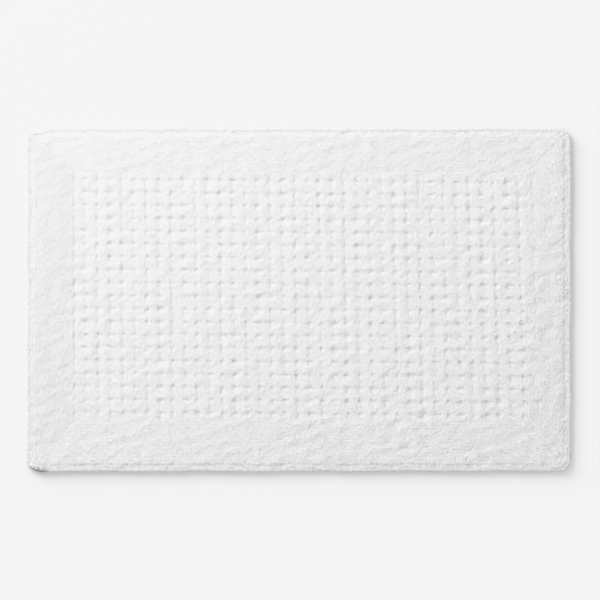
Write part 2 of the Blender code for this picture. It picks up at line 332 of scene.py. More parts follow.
class MeshParts:
    """Vertices and faces gathered from several shapes, for one object."""

    def __init__(self):
        self.points = []
        self.faces = {3: [], 4: []}
        self.tones = []
        self.leanings = []
        self.count = 0

    def add(self, points, quads=None, triangles=None, tone=0.5, leaning=None):
        """leaning pulls the shading normals towards it; zero keeps the shape's own normal."""
        for size, faces in ((4, quads), (3, triangles)):
            if faces is not None:
                self.faces[size].append(np.asarray(faces, np.int32).reshape(-1, size) + self.count)
        self.points.append(np.asarray(points, np.float32).reshape(-1, 3))
        count = len(self.points[-1])
        self.tones.append(np.broadcast_to(np.asarray(tone, np.float32), count))
        if leaning is None:
            leaning = np.zeros((count, 3))
        self.leanings.append(leaning.astype(np.float32))
        self.count += count

    def to_object(self, name, material, crease_angle=None):
        points = sway_outline(np.concatenate(self.points))
        faces = [np.concatenate(self.faces[size]) for size in (4, 3) if self.faces[size]]
        corners = np.concatenate([face.ravel() for face in faces])
        sizes = np.concatenate([np.full(len(face), face.shape[1]) for face in faces])
        mesh = bpy.data.meshes.new(name)
        mesh.vertices.add(len(points))
        mesh.vertices.foreach_set("co", points.ravel())
        mesh.loops.add(len(corners))
        mesh.loops.foreach_set("vertex_index", corners.astype(np.int32))
        mesh.polygons.add(len(sizes))
        starts = np.concatenate([[0], np.cumsum(sizes)[:-1]])
        mesh.polygons.foreach_set("loop_start", starts.astype(np.int32))
        mesh.polygons.foreach_set("use_smooth", np.full(len(sizes), True))
        tone = mesh.attributes.new("tone", "FLOAT", "POINT")
        tone.data.foreach_set("value", np.concatenate(self.tones).astype(np.float32))
        mesh.update(calc_edges=True)
        leanings = np.concatenate(self.leanings)
        if leanings.any():
            soften_normals(mesh, leanings)
        if crease_angle is not None:
            mesh.set_sharp_from_angle(angle=math.radians(crease_angle))
        mesh.materials.append(material)
        return link_object(name, mesh)


def link_object(name, data):
    new_object = bpy.data.objects.new(name, data)
    bpy.context.scene.collection.objects.link(new_object)
    return new_object


def soften_normals(mesh, leanings):
    """Fine fibres scatter light like one soft surface, so strands share part of its normal."""
    normals = np.empty(len(mesh.vertices) * 3, np.float32)
    mesh.vertex_normals.foreach_get("vector", normals)
    mesh.normals_split_custom_set_from_vertices(unit(normals.reshape(-1, 3) + leanings))


def grid_faces(rows, columns, closed=False):
    """Quads between neighbouring points of a grid whose points are stored row by row."""
    last = columns if closed else columns - 1
    row, column = np.meshgrid(np.arange(rows - 1), np.arange(last), indexing="ij")
    ahead = (column + 1) % columns
    corners = (row * columns + column, row * columns + ahead,
               (row + 1) * columns + ahead, (row + 1) * columns + column)
    return np.stack(corners, -1).reshape(-1, 4)


def grid_rim(rows, columns):
    """The outer points of such a grid, in order."""
    index = np.arange(rows * columns).reshape(rows, columns)
    return np.concatenate([index[0], index[1:, -1], index[-1, -2::-1], index[-2:0:-1, 0]])


def band(ring, other):
    """Quads between two closed rings of points."""
    return np.stack([np.roll(ring, -1), ring, other, np.roll(other, -1)], -1)


def fan(ring, centre):
    """Triangles from a closed ring of points to one centre."""
    return np.stack([ring, np.roll(ring, -1), np.full(len(ring), centre)], 1)


def cap(ring):
    """Triangles that close a convex ring of points."""
    return np.array([[ring[0], ring[i], ring[i + 1]] for i in range(1, len(ring) - 1)])


def add_slab(parts, top, bottom_height):
    """A closed body under a grid of top points, an array of rows x columns x 3."""
    rows, columns = top.shape[:2]
    bottom = top.copy()
    bottom[..., 2] = bottom_height
    start = rows * columns
    upper = grid_faces(rows, columns)
    rim = grid_rim(rows, columns)
    parts.add(np.concatenate([top.reshape(-1, 3), bottom.reshape(-1, 3)]),
              quads=np.concatenate([upper, upper[:, ::-1] + start, band(rim, rim + start)]),
              tone=GROUND_TONE)


def add_strands(parts, base, tip, radius, tone, surface_normal, softness):
    """Blunt strands of yarn, each a four-sided stalk that swells to a soft cut end."""
    count = len(base)
    length = np.linalg.norm(tip - base, axis=1, keepdims=True)
    axis = (tip - base) / length
    side = unit(np.cross(axis, np.array([0.0, 1.0, 0.0])))
    flank = np.cross(axis, side)
    twist = rng.uniform(0, math.tau, count)
    bend = side * rng.normal(0, STRAND_BEND, (count, 1))
    bend = (bend + flank * rng.normal(0, STRAND_BEND, (count, 1))) * radius[:, None]
    rings = []
    for share, swell, drop in STRAND_RINGS:
        centre = base + axis * (length * share - radius[:, None] * drop) + bend * share
        for corner in range(4):
            angle = twist + corner * math.tau / 4
            reach = radius * swell * rng.uniform(*STRAND_RAGGEDNESS, count)
            sideways = side * (np.cos(angle) * reach)[:, None]
            rings.append(centre + sideways + flank * (np.sin(angle) * reach)[:, None])
    rings.append(tip + bend)
    points = np.stack(rings, 1)
    per_strand = len(rings)
    around = np.arange(4)
    quads = np.concatenate([grid_faces(2, 4, closed=True), [[3, 2, 1, 0]]])
    offset = (np.arange(count) * per_strand)[:, None, None]
    parts.add(points, quads=quads[None] + offset, triangles=fan(around + 4, 8)[None] + offset,
              tone=np.repeat(tone, per_strand),
              leaning=np.repeat(surface_normal * np.reshape(softness, (-1, 1)), per_strand, axis=0))


# -------------------- relief

def noise(x, y, kind):
    """Gentle waves of this height, scale and seed, from a few sines in fixed random directions."""
    height, scale, seed = kind
    fixed = np.random.default_rng(seed)
    total = np.zeros_like(x)
    for octave in range(NOISE_OCTAVES):
        for _ in range(NOISE_WAVES):
            angle, phase = fixed.uniform(0, math.tau, 2)
            frequency = math.tau / scale * 2 ** octave * fixed.uniform(*NOISE_PITCH_SPREAD)
            across = x * math.cos(angle) + y * math.sin(angle)
            total += np.sin(across * frequency + phase) / 2 ** octave
    return height * (total / NOISE_WAVES)


def broken(x, y, kind, middle=1.0, limits=(0, 2)):
    """A strength that comes and goes from place to place."""
    return np.clip(middle + noise(x, y, kind), *limits)


def dimple_centres(axis, count):
    """The dimples' places along an axis, and one more at each end."""
    index = np.arange(-1, count + 1)
    drift = PITCH_DRIFT[axis] * (index * index - index * (count - 1)) / 2
    return FIRST_DIMPLE[axis] + DIMPLE_PITCH[axis] * index + drift


# One cell for each dimple, and a ring of cells round them: slits at the left and right, and none at
# the front and back
COLUMN_X = dimple_centres(0, DIMPLE_COLUMNS)
ROW_Y = dimple_centres(1, DIMPLE_ROWS)
CELLS = (len(ROW_Y), len(COLUMN_X))
SLITS = (slice(None), [0, -1])
CELL_SHIFT_X = rng.normal(0, DIMPLE_JITTER, CELLS)
CELL_SHIFT_Y = rng.normal(0, DIMPLE_JITTER, CELLS)
CELL_DEPTH = rng.normal(1.0, DEPTH_SPREAD, CELLS)
CELL_DEPTH *= np.linspace(*DEPTH_FROM_LEFT_TO_RIGHT, CELLS[1])
CELL_DEPTH *= np.linspace(*DEPTH_FROM_FRONT_TO_BACK, CELLS[0])[:, None]
CELL_TURN = rng.normal(0, TURN_SPREAD, CELLS)
CELL_SIZE = rng.normal(1.0, SIZE_SPREAD, CELLS)
CELL_HALF_X, CELL_HALF_Y = (
    np.where(np.arange(CELLS[1]) % 2 == 1, wide, narrow) * CELL_SIZE
    for wide, narrow in zip(WIDE_DIMPLE, NARROW_DIMPLE))
CELL_SHIFT_X[SLITS] = SLIT_SHIFT
CELL_DEPTH[SLITS] *= SLIT_DEPTHS
CELL_TURN[SLITS] *= SLIT_TURN
CELL_HALF_X[SLITS] = SLIT_SIZE[0] * CELL_SIZE[SLITS]
CELL_HALF_Y[SLITS] = SLIT_SIZE[1] * CELL_SIZE[SLITS]
CELL_DEPTH[[0, -1]] = 0
CELL_IS_SLIT = np.zeros(CELLS, bool)
CELL_IS_SLIT[SLITS] = True


def on_grid(x, y):
    """The even grid's point that has moved here: the mat lies a little skewed, most at its right."""
    grid_x = x - GRID_SHIFT + GRID_SKEW[0] * y + GRID_TWIST * x * y
    grid_y = y + GRID_SKEW[1] * x
    return grid_x, grid_y


def nearest(centres, values):
    middles = (centres[1:] + centres[:-1]) / 2
    return np.searchsorted(middles, values)


def hill(distance, width, power=2.0):
    """1 at the middle, falling to nothing at about twice the width."""
    return np.exp(-np.abs(distance / width) ** power)


def field_relief(x, y):
    """Height of the field's surface below its pillows' tops, negative downwards."""
    grid_x, grid_y = on_grid(x, y)
    cell = nearest(ROW_Y, grid_y), nearest(COLUMN_X, grid_x)
    dx, dy = grid_x - COLUMN_X[cell[1]], grid_y - ROW_Y[cell[0]]
    inside, slit = CELL_DEPTH[cell] > 0, CELL_IS_SLIT[cell]
    fade = np.clip(1 - outside_field(x, y) / FIELD_FADE, 0, 1)
    sway = noise(x, y, LANE_SWAY)
    lane = -LANE_DEPTH * broken(x, y, LANE_BREAKS) * hill(dx - sway, LANE_WIDTH) * ~slit
    cross = -CROSS_DEPTH * broken(x, y, CROSS_BREAKS) * hill(dy - sway, CROSS_WIDTH)
    return dimple_pit(dx, dy, cell) * np.where(slit, 1, fade) + (lane + cross) * inside * fade


def dimple_pit(dx, dy, cell):
    """An oval hollow, a little off its place in the net and a little turned."""
    shifted_x = dx - CELL_SHIFT_X[cell]
    shifted_y = dy - CELL_SHIFT_Y[cell]
    cos, sin = np.cos(CELL_TURN[cell]), np.sin(CELL_TURN[cell])
    along = shifted_x * cos + shifted_y * sin
    across = shifted_y * cos - shifted_x * sin
    shape = hill(along, CELL_HALF_X[cell]) * hill(across, CELL_HALF_Y[cell])
    return -DIMPLE_DEPTH * CELL_DEPTH[cell] * shape


def field_gaps(x, y):
    """How far a point is outside the field's rectangle along each axis, negative inside it."""
    return np.maximum(FIELD_LOW.x - x, x - FIELD_HIGH.x), np.maximum(FIELD_LOW.y - y, y - FIELD_HIGH.y)


def outside_field(x, y):
    return np.maximum(*field_gaps(x, y))


def crease_relief(x, y):
    """The shallow, broken crease where the border meets the field."""
    strength = broken(x, y, CREASE_BREAKS, *CREASE_STRENGTH)
    distance = outside_field(x, y) + noise(x, y, CREASE_SWAY)
    return -fullness(x, y, CREASE_DEPTHS) * strength * hill(distance, CREASE_WIDTH)


def mitre_relief(x, y):
    """Creases that run from the corners of the field to those of the mat."""
    total = np.zeros_like(x)
    strength = broken(x, y, MITRE_BREAKS, *MITRE_STRENGTH)
    for sign, depth in MITRE_DEPTHS.items():
        inner = field_corner(sign)
        outer = np.array(sign) * (HALF_X - MITRE_END_INSET, HALF_Y - MITRE_END_INSET)
        along = (outer - inner) / np.linalg.norm(outer - inner)
        u = (x - inner[0]) * along[0] + (y - inner[1]) * along[1]
        v = (y - inner[1]) * along[0] - (x - inner[0]) * along[1]
        total -= depth * strength * (u > 0) * hill(v + noise(x, y, MITRE_SWAY), MITRE_WIDTH)
    return total


def fullness(x, y, ends):
    """Blends from a value at the back left to one at the front right."""
    share = np.clip(0.5 + (x / HALF_X - y / HALF_Y) / 4, 0, 1)
    return ends[0] + (ends[1] - ends[0]) * share


def hollows(x, y):
    return field_relief(x, y) + crease_relief(x, y) + mitre_relief(x, y)


def edge_distance(x, y):
    """How far a point is inside the mat's outline, taken as an evenly rounded rectangle."""
    over_x = np.abs(x) - HALF_X + OUTLINE_ROUNDING
    over_y = np.abs(y) - HALF_Y + OUTLINE_ROUNDING
    outside = np.hypot(np.maximum(over_x, 0), np.maximum(over_y, 0))
    return OUTLINE_ROUNDING - outside - np.minimum(np.maximum(over_x, over_y), 0)


def groove_relief(x, y):
    """The seam pulls the pile down in a groove behind the edge roll, here more and there less."""
    strength = broken(x, y, GROOVE_BREAKS, *GROOVE_STRENGTH)
    from_corner = np.hypot(x - HALF_X, y + HALF_Y)
    strength *= 1 - GROOVE_CORNER_LOSS * hill(from_corner, GROOVE_CORNER_REACH)
    return -fullness(x, y, GROOVE_DEPTHS) * strength * hill(edge_distance(x, y) - GROOVE_INSET, GROOVE_WIDTH)


def swells(x, y):
    waves = sum(noise(x, y, wave) for wave in WAVES)
    return waves * fullness(x, y, WAVE_SHARES) + groove_relief(x, y)


def relief(x, y):
    return hollows(x, y) + swells(x, y)


def relief_slope(x, y):
    slope_x = (relief(x + SLOPE_STEP, y) - relief(x - SLOPE_STEP, y)) / (2 * SLOPE_STEP)
    slope_y = (relief(x, y + SLOPE_STEP) - relief(x, y - SLOPE_STEP)) / (2 * SLOPE_STEP)
    return slope_x, slope_y


# -------------------- tufts

def tuft_strands(x, y, row_angle, gauge, stitch):
    """Where the strands of each tuft stand, a small block across and along its row, and their dome."""
    across = (np.arange(STRANDS_ACROSS) + 0.5) / STRANDS_ACROSS - 0.5
    along = (np.arange(STRANDS_ALONG) + 0.5) / STRANDS_ALONG - 0.5
    a, b = np.meshgrid(across * gauge, along * stitch, indexing="ij")
    a, b = a.ravel()[None, :], b.ravel()[None, :]
    cos, sin = np.cos(row_angle)[:, None], np.sin(row_angle)[:, None]
    jitter = rng.normal(0, 1, (2, len(x), STRANDS_PER_TUFT)) * fullness(x, y, STRAND_JITTER)[None, :, None]
    strand_x = x[:, None] + b * cos - a * sin + jitter[0]
    strand_y = y[:, None] + b * sin + a * cos + jitter[1]
    dome_a, dome_b = 4 * TUFT_DOME[0] / gauge ** 2, 4 * TUFT_DOME[1] / stitch ** 2
    drop = -dome_a * a ** 2 - dome_b * b ** 2 + np.zeros_like(strand_x)
    slope_x = 2 * dome_a * a * sin - 2 * dome_b * b * cos
    slope_y = -2 * dome_a * a * cos - 2 * dome_b * b * sin
    return [value.ravel() for value in (strand_x, strand_y, drop, slope_x, slope_y)]


def tuft_random(count):
    """A random number for each of so many strands, the same within a tuft."""
    return np.repeat(rng.normal(0, 1, count // STRANDS_PER_TUFT), STRANDS_PER_TUFT)


def lean(slope):
    return -LEAN_INTO_HOLLOW * slope + rng.normal(0, LEAN_SPREAD, len(slope))


def add_pile(parts, tufts, tone_shift, roughness=1.0):
    """Strands whose tips lie on the relief and which lean a little down its slopes."""
    x, y, drop, dome_slope_x, dome_slope_y = tufts
    domed = fullness(x, y, DOME_SHARE) * broken(x, y, DOME_BREAKS)
    hollow = hollows(x, y)
    height = TOP + hollow + swells(x, y) + drop * domed
    slope_x, slope_y = relief_slope(x, y)
    normal = np.stack([-slope_x * SLOPE_SHARE - dome_slope_x * domed,
                       -slope_y * SLOPE_SHARE - dome_slope_y * domed, np.ones(len(x))], -1)
    count = len(x)
    tuft_tone = tuft_random(count) * (roughness * fullness(x, y, TUFT_TONES))
    least, most = SHADED_DEPTHS
    # Painted shade in the hollows: deeper strands get a darker tone
    shade = fullness(x, y, SHADE_PER_DEPTH) * np.clip(-least - hollow, 0, most - least)
    lean_x, lean_y = lean(slope_x), lean(slope_y)
    tuft_height = tuft_random(count)
    tip_height = height + tuft_height * roughness * fullness(x, y, TUFT_UNEVENNESS)
    tip_height += rng.normal(0, 1, count) * roughness * fullness(x, y, STRAND_UNEVENNESS)
    tip = np.stack([x + lean_x * STRAND_LENGTH, y + lean_y * STRAND_LENGTH, tip_height], -1)
    base = np.stack([x, y, tip_height - STRAND_LENGTH], -1)
    radius = fullness(x, y, STRAND_RADIUS) * rng.uniform(*RADIUS_SPREAD, count)
    strand_tone = rng.normal(0, 1, count) * fullness(x, y, STRAND_TONES)
    tone = np.clip(fullness(x, y, PILE_TONES) + tone_shift + tuft_tone + strand_tone - shade, 0, 1)
    add_strands(parts, base, tip, radius, tone, unit(normal), fullness(x, y, NORMAL_SOFTNESS))


def body_height(x, y):
    """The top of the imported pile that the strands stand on."""
    return TOP + relief(x, y) - fullness(x, y, BODY_BELOW_TIPS)


def field_tufts(low_x, high_x):
    """Tuft centres in the rows between these two lines."""
    rows = round((FIELD_HIGH.x - FIELD_LOW.x) / FIELD_GAUGE)
    row_x = FIELD_LOW.x + (np.arange(rows) + 0.5) * (FIELD_HIGH.x - FIELD_LOW.x) / rows
    row_x = row_x[(row_x > low_x) & (row_x <= high_x)]
    stitches = round((FIELD_HIGH.y - FIELD_LOW.y) / FIELD_STITCH)
    stitch_y = FIELD_LOW.y + (np.arange(stitches) + 0.5) * (FIELD_HIGH.y - FIELD_LOW.y) / stitches
    x, y = np.meshgrid(row_x, stitch_y, indexing="ij")
    return (x + noise(x, y, FIELD_ROW_WANDER)).ravel(), y.ravel()


def body_lines(centres, low, high):
    """Grid lines of the field's body: even steps between the dimples, cut to the field."""
    steps = np.arange((len(centres) - 1) * BODY_STEPS_PER_DIMPLE + 1) / BODY_STEPS_PER_DIMPLE
    lines = np.interp(steps, np.arange(len(centres)), centres)
    return np.concatenate([[low], lines[(lines > low) & (lines < high)], [high]])


def make_field(material):
    x, y = np.meshgrid(body_lines(COLUMN_X, FIELD_LOW.x, FIELD_HIGH.x),
                       body_lines(ROW_Y, FIELD_LOW.y, FIELD_HIGH.y))
    body = MeshParts()
    add_slab(body, np.stack([x, y, body_height(x, y)], -1), PILE_BOTTOM)
    pieces = [body.to_object("pile_field_ground", material)]
    edges = np.linspace(FIELD_LOW.x, FIELD_HIGH.x, FIELD_BANDS + 1)
    for index in range(FIELD_BANDS):
        parts = MeshParts()
        x, y = field_tufts(edges[index], edges[index + 1])
        tufts = tuft_strands(x, y, np.full(len(x), math.pi / 2), FIELD_GAUGE, FIELD_STITCH)
        add_pile(parts, tufts, FIELD_TONE, FIELD_ROUGHNESS)
        pieces.append(parts.to_object(f"pile_field_tufts_{index + 1}", material))
    for piece in pieces:
        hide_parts("pile_field")
    return pieces


# -------------------- outline

def sway_outline(points):
    """Hand-sewn edges wander by under a millimetre, and the two left corners are pulled in."""
    x, y = points[:, 0].astype(float), points[:, 1].astype(float)
    near_x = np.clip(1 - (HALF_X - np.abs(x)) / EDGE_SWAY_REACH, 0, 1)
    near_y = np.clip(1 - (HALF_Y - np.abs(y)) / EDGE_SWAY_REACH, 0, 1)
    shift_x = np.sign(x) * near_x * edge_sway(y, np.sign(x))
    shift_y = np.sign(y) * near_y * edge_sway(x, np.sign(y) * 2)
    for (sign_x, sign_y), reach, pull in CORNER_PULLS:
        u = np.clip(1 - (HALF_X - x * sign_x) / reach[0], 0, 1)
        v = np.clip(1 - (HALF_Y - y * sign_y) / reach[1], 0, 1)
        weight = u ** PULL_POWERS[0] * v ** PULL_POWERS[1]
        shift_x -= sign_x * pull[0] * weight
        shift_y -= sign_y * pull[1] * weight
    swayed = points.copy()
    swayed[:, 0] += shift_x
    swayed[:, 1] += shift_y
    return swayed


def edge_sway(distance, phase):
    return sum(height * np.sin(distance * rate + phase * shift) for height, rate, shift in EDGE_WAVES)


def outline_point(side, distance, inset):
    """Points of a side's rounded outline, and their outward directions.

    distance runs from 0 at the first corner's middle to side_length(side) at the last corner's.
    """
    first, last = (np.array(sign) for sign in CORNER_SIGNS[side])
    first_radius, last_radius = (CORNER_RADII[sign] for sign in CORNER_SIGNS[side])
    length = side_length(side)
    arcs = first_radius * math.pi / 4, last_radius * math.pi / 4
    turn = np.clip(distance / arcs[0], 0, 1) + np.clip((distance - length + arcs[1]) / arcs[1], 0, 1)
    angle = math.radians(START_ANGLE[side]) + turn * math.pi / 4
    share = np.clip((distance - arcs[0]) / (length - sum(arcs)), 0, 1)[:, None]
    radius = first_radius * (1 - share[:, 0]) + last_radius * share[:, 0]
    reach = np.maximum(radius, inset)[:, None]
    half = np.array([HALF_X, HALF_Y])
    centre = first * (half - reach) * (1 - share) + last * (half - reach) * share
    outward = np.stack([np.cos(angle), np.sin(angle)], -1)
    return centre + outward * np.maximum(radius - inset, 0)[:, None], outward


def side_length(side):
    first_radius, last_radius = (CORNER_RADII[sign] for sign in CORNER_SIGNS[side])
    full = 2 * (HALF_X if side in ("front", "back") else HALF_Y)
    return full - (first_radius + last_radius) * (1 - math.pi / 4)


def side_run(side, step):
    """Distances along a side, about a step apart, from its first corner's middle to its last."""
    length = side_length(side)
    return np.linspace(0, length, int(length / step) + 1)


def field_corner(sign):
    x = FIELD_HIGH.x if sign[0] > 0 else FIELD_LOW.x
    y = FIELD_HIGH.y if sign[1] > 0 else FIELD_LOW.y
    return np.array([x, y])


def border_point(side, share_along, share_across):
    """A point of the border strip: share_across is 0 at the roll and 1 at the crease."""
    outer, _ = outline_point(side, share_along * side_length(side), BORDER_START_INSET)
    first, last = (field_corner(sign) for sign in CORNER_SIGNS[side])
    inner = first + (last - first) * np.clip(share_along, 0, 1)[:, None]
    return outer + (inner - outer) * np.reshape(share_across, (-1, 1))


def border_width(side):
    from_edge = {"front": HALF_Y + FIELD_LOW.y, "right": HALF_X - FIELD_HIGH.x,
                 "back": HALF_Y - FIELD_HIGH.y, "left": HALF_X + FIELD_LOW.x}
    return from_edge[side] - BORDER_START_INSET


def border_row(side, row, rows):
    """A row's tuft centres, which miss those of the next row by half a stitch, and its direction there."""
    across = (row + 0.5) / rows
    ends = border_point(side, np.array([0.0, 1.0]), across)
    count = round(np.linalg.norm(ends[1] - ends[0]) / BORDER_STITCH)
    along = (np.arange(count) + 0.5 + 0.5 * (row % 2)) / (count + 0.5)
    x, y = border_point(side, along, across).T
    ahead_x, ahead_y = border_point(side, along + ROW_DIRECTION_STEP, across).T
    angle = np.arctan2(ahead_y - y, ahead_x - x)
    wander = noise(x, y, BORDER_ROW_WANDER) * (0 < row < rows - 1)
    return x - wander * np.sin(angle), y + wander * np.cos(angle), angle


def make_border(side, material):
    parts = MeshParts()
    width, length = border_width(side), side_length(side)
    stations = np.linspace(0, 1, int(length / BODY_STEP) + 1)
    lines = np.linspace(0, 1, int(width / BODY_STEP) + 1)
    along, across = np.meshgrid(stations, lines)
    x, y = border_point(side, along.ravel(), across.ravel()).T
    top = np.stack([x, y, body_height(x, y)], -1).reshape(*along.shape, 3)
    add_slab(parts, top[::-1], PILE_BOTTOM)
    rows = round(width / BORDER_GAUGE)
    for row in range(rows):
        x, y, angle = border_row(side, row, rows)
        turned = angle + rng.normal(0, BORDER_TUFT_TURN, len(angle))
        add_pile(parts, tuft_strands(x, y, turned, width / rows, BORDER_STITCH), SIDE_TONES[side])
    piece = parts.to_object("pile_border_" + side + "_tufts", material)
    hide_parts("pile_border_" + side)
    return piece


def squarish(value):
    return np.sign(value) * np.abs(value) ** (2 / ROLL_SQUARENESS)


def roll_point(side, distance, angle, reach):
    """A point of the edge roll's section, at this share of its full reach from its middle."""
    inset = ROLL_CENTRE[0] - ROLL_HALF_SIZE[0] * squarish(np.cos(angle)) * reach
    height = ROLL_CENTRE[1] + ROLL_HALF_SIZE[1] * squarish(np.sin(angle)) * reach
    flat, outward = outline_point(side, distance, inset)
    normal = np.concatenate([outward * np.cos(angle)[:, None], np.sin(angle)[:, None]], 1)
    return np.concatenate([flat, height[:, None]], 1), normal


def add_roll_core(parts, side):
    """The closed body under the roll's strands."""
    stations = side_run(side, BODY_STEP)
    turns = np.linspace(0, math.tau, ROLL_CORE_SIDES, endpoint=False)
    distance, angle = np.meshgrid(stations, turns, indexing="ij")
    core, _ = roll_point(side, distance.ravel(), angle.ravel(), ROLL_CORE_SHARE)
    quads = grid_faces(len(stations), ROLL_CORE_SIDES, closed=True)
    first = np.arange(ROLL_CORE_SIDES)
    caps = np.concatenate([cap(first[::-1]), cap(first + len(core) - ROLL_CORE_SIDES)])
    parts.add(core, quads=quads[:, ::-1], triangles=caps[:, ::-1], tone=GROUND_TONE)


def make_roll(side, material):
    """The outermost tufts, which lean out over the fold in bundles."""
    parts = MeshParts()
    add_roll_core(parts, side)
    length = side_length(side)
    spots = np.arange(0.5, length / ROLL_STATION) * ROLL_STATION
    turns = np.radians(np.linspace(*ROLL_SPAN_DEGREES, ROLL_STRANDS_ROUND))
    distance, angle = np.meshgrid(spots, turns, indexing="ij")
    distance = distance + rng.normal(0, ROLL_JITTER[0], distance.shape)
    distance += (np.arange(len(turns)) % 2) * ROLL_STATION / 2
    distance = np.clip(distance.ravel(), 0, length)
    angle = (angle + rng.normal(0, ROLL_TURN_JITTER, angle.shape)).ravel()
    count = len(angle)
    base, normal = roll_point(side, distance, angle, ROLL_FOOT_SHARE)
    bundle = distance / ROLL_BUNDLE + noise(distance, distance, ROLL_BUNDLE_WANDER)
    gap = (1 - np.abs(np.sin(np.pi * bundle))) ** 2
    patch = np.clip(noise(distance, distance, ROLL_PATCHES), -1, 1)
    place = base[:, 0], base[:, 1]
    reach = ROLL_TIP_SHARE + rng.normal(0, 1, count) * fullness(*place, ROLL_UNEVENNESS)
    reach -= fullness(*place, ROLL_BUNDLE_DEPTH) * gap + ROLL_PATCH_DEPTH * patch
    moved = np.clip(distance + rng.normal(0, ROLL_JITTER[1], count), 0, length)
    tip, _ = roll_point(side, moved, angle, reach)
    tip[:, 2] = np.maximum(tip[:, 2], ROLL_LOWEST_TIP)
    radius = STRAND_RADIUS[1] * rng.uniform(*ROLL_RADIUS_SPREAD, count)
    place = tip[:, 0], tip[:, 1]
    tone = rng.normal(ROLL_TONE, ROLL_TONE_SPREAD, count)
    # Painted shade on the outer flank at the front right, painted light there at the back left
    tone -= fullness(*place, ROLL_FLANK_PAINTED_LIGHT_AND_SHADE) * hill(angle, ROLL_FLANK_WIDTH)
    # Painted shade in the gaps between bundles and in sunken patches, painted light on raised ones
    tone -= fullness(*place, ROLL_BUNDLE_SHADE) * gap + ROLL_PATCH_SHADE * patch
    # Painted shade on the roll's strands where the rim is tucked under at the front left corner
    if side == "front":
        tuck_shade_mask = hill(distance - TUCK_MIDDLE, TUCK_LENGTH, 4) * hill(angle - TUCK_TURN, TUCK_TURN_WIDTH, 8)
        tone -= tuck_shade_mask * rng.uniform(*TUCK_PAINTED_SHADES, count)
    normal[:, 2] += fullness(*place, ROLL_NORMAL_LIFT)
    add_strands(parts, base, tip, radius, np.clip(tone, 0, 1), unit(normal), ROLL_SOFTNESS)
    piece = parts.to_object("edge_roll_" + side + "_tufts", material)
    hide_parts("edge_roll_" + side)
    return piece


# -------------------- underside

def make_hem(side, material):
    """The base cloth's margin, folded down round the edge and turned under, puckered by its seam."""
    stations = side_run(side, HEM_STATION)
    insets, heights = np.array(HEM_SECTION).T
    section = len(insets)
    distance, corner = np.meshgrid(stations, np.arange(section), indexing="ij")
    distance, inset, height = distance.ravel(), insets[corner.ravel()], heights[corner.ravel()]
    rise = 0.5 - 0.5 * np.cos(math.tau * distance / STITCH_LENGTH)
    pucker = HEM_PUCKER * rise * hill(inset - SEAM_INSET, HEM_PUCKER_WIDTH)
    sag = HEM_WAVE[0] + noise(distance, inset, HEM_WAVE)
    height = height + (height < HEM_UNDERSIDE) * (pucker + sag)
    flat, _ = outline_point(side, distance, inset)
    points = np.concatenate([flat, height[:, None]], 1)
    around = np.arange(section)
    total = len(points)
    caps = np.concatenate([fan(around, total)[:, [1, 0, 2]], fan(around + total - section, total + 1)])
    parts = MeshParts()
    parts.add(np.concatenate([points, [points[:section].mean(0), points[-section:].mean(0)]]),
              quads=grid_faces(len(stations), section, closed=True), triangles=caps)
    piece = parts.to_object("hem_" + side + "_cloth", material, crease_angle=60)
    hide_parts("hem_" + side)
    return piece


def make_base_cloth(material):
    """The woven cloth between pile and coat, as rings that shrink from its outline to its middle."""
    low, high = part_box("base_cloth")
    inset = HALF_X - high.x
    outline = np.concatenate([
        outline_point(side, side_run(side, OUTLINE_STEP)[:-1], inset)[0] for side in SIDES])
    shares = np.linspace(1, 0, CLOTH_RINGS, endpoint=False)
    rings = (outline[None] * shares[:, None, None]).reshape(-1, 2)
    around, count = len(outline), len(rings)
    faces = grid_faces(CLOTH_RINGS, around, closed=True)
    rim = np.arange(around)
    middle_ring = rim + count - around
    points = [np.concatenate([rings, np.full((count, 1), height)], 1) for height in (high.z, low.z)]
    points.append([[0, 0, high.z], [0, 0, low.z]])
    under_fan = fan(middle_ring + count, 2 * count + 1)[:, [1, 0, 2]]
    parts = MeshParts()
    parts.add(np.concatenate(points),
              quads=np.concatenate([faces, faces[:, ::-1] + count, band(rim, rim + count)]),
              triangles=np.concatenate([fan(middle_ring, 2 * count), under_fan]))
    piece = parts.to_object("base_cloth_weave", material, crease_angle=60)
    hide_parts("base_cloth")
    return piece


def coat_lines(low, high, step, recess_low, recess_high):
    """Grid lines of the coat, with a close pair at each wall of the label's recess."""
    lines = np.linspace(low, high, int((high - low) / step) + 1)
    walls = [recess_low - RECESS_WALL, recess_low, recess_high, recess_high + RECESS_WALL]
    return np.unique(np.concatenate([lines, walls]))


def coat_height(x, y):
    """The coat's underside: every back stitch of the tufting shows through it as an oblong bump."""
    gap_x, gap_y = field_gaps(x, y)
    turned = (gap_y > 0) & (gap_y > gap_x)
    row = np.where(turned, y - FIELD_LOW.y, x - FIELD_LOW.x) / FIELD_GAUGE
    place = np.where(turned, x, y) / FIELD_STITCH + 0.5 * (np.floor(row) % 2)
    across = (row - np.floor(row) - 0.5) / BACK_STITCH_HALF[0]
    along = (place - np.floor(place) - 0.5) / BACK_STITCH_HALF[1]
    bump = np.sqrt(np.clip(1 - across ** 2, 0, 1) * np.clip(1 - along ** 2, 0, 1))
    return COAT_RELIEF * (1 - bump * (BACK_STITCH_HEIGHT + noise(x, y, BACK_STITCH_SPREAD)))


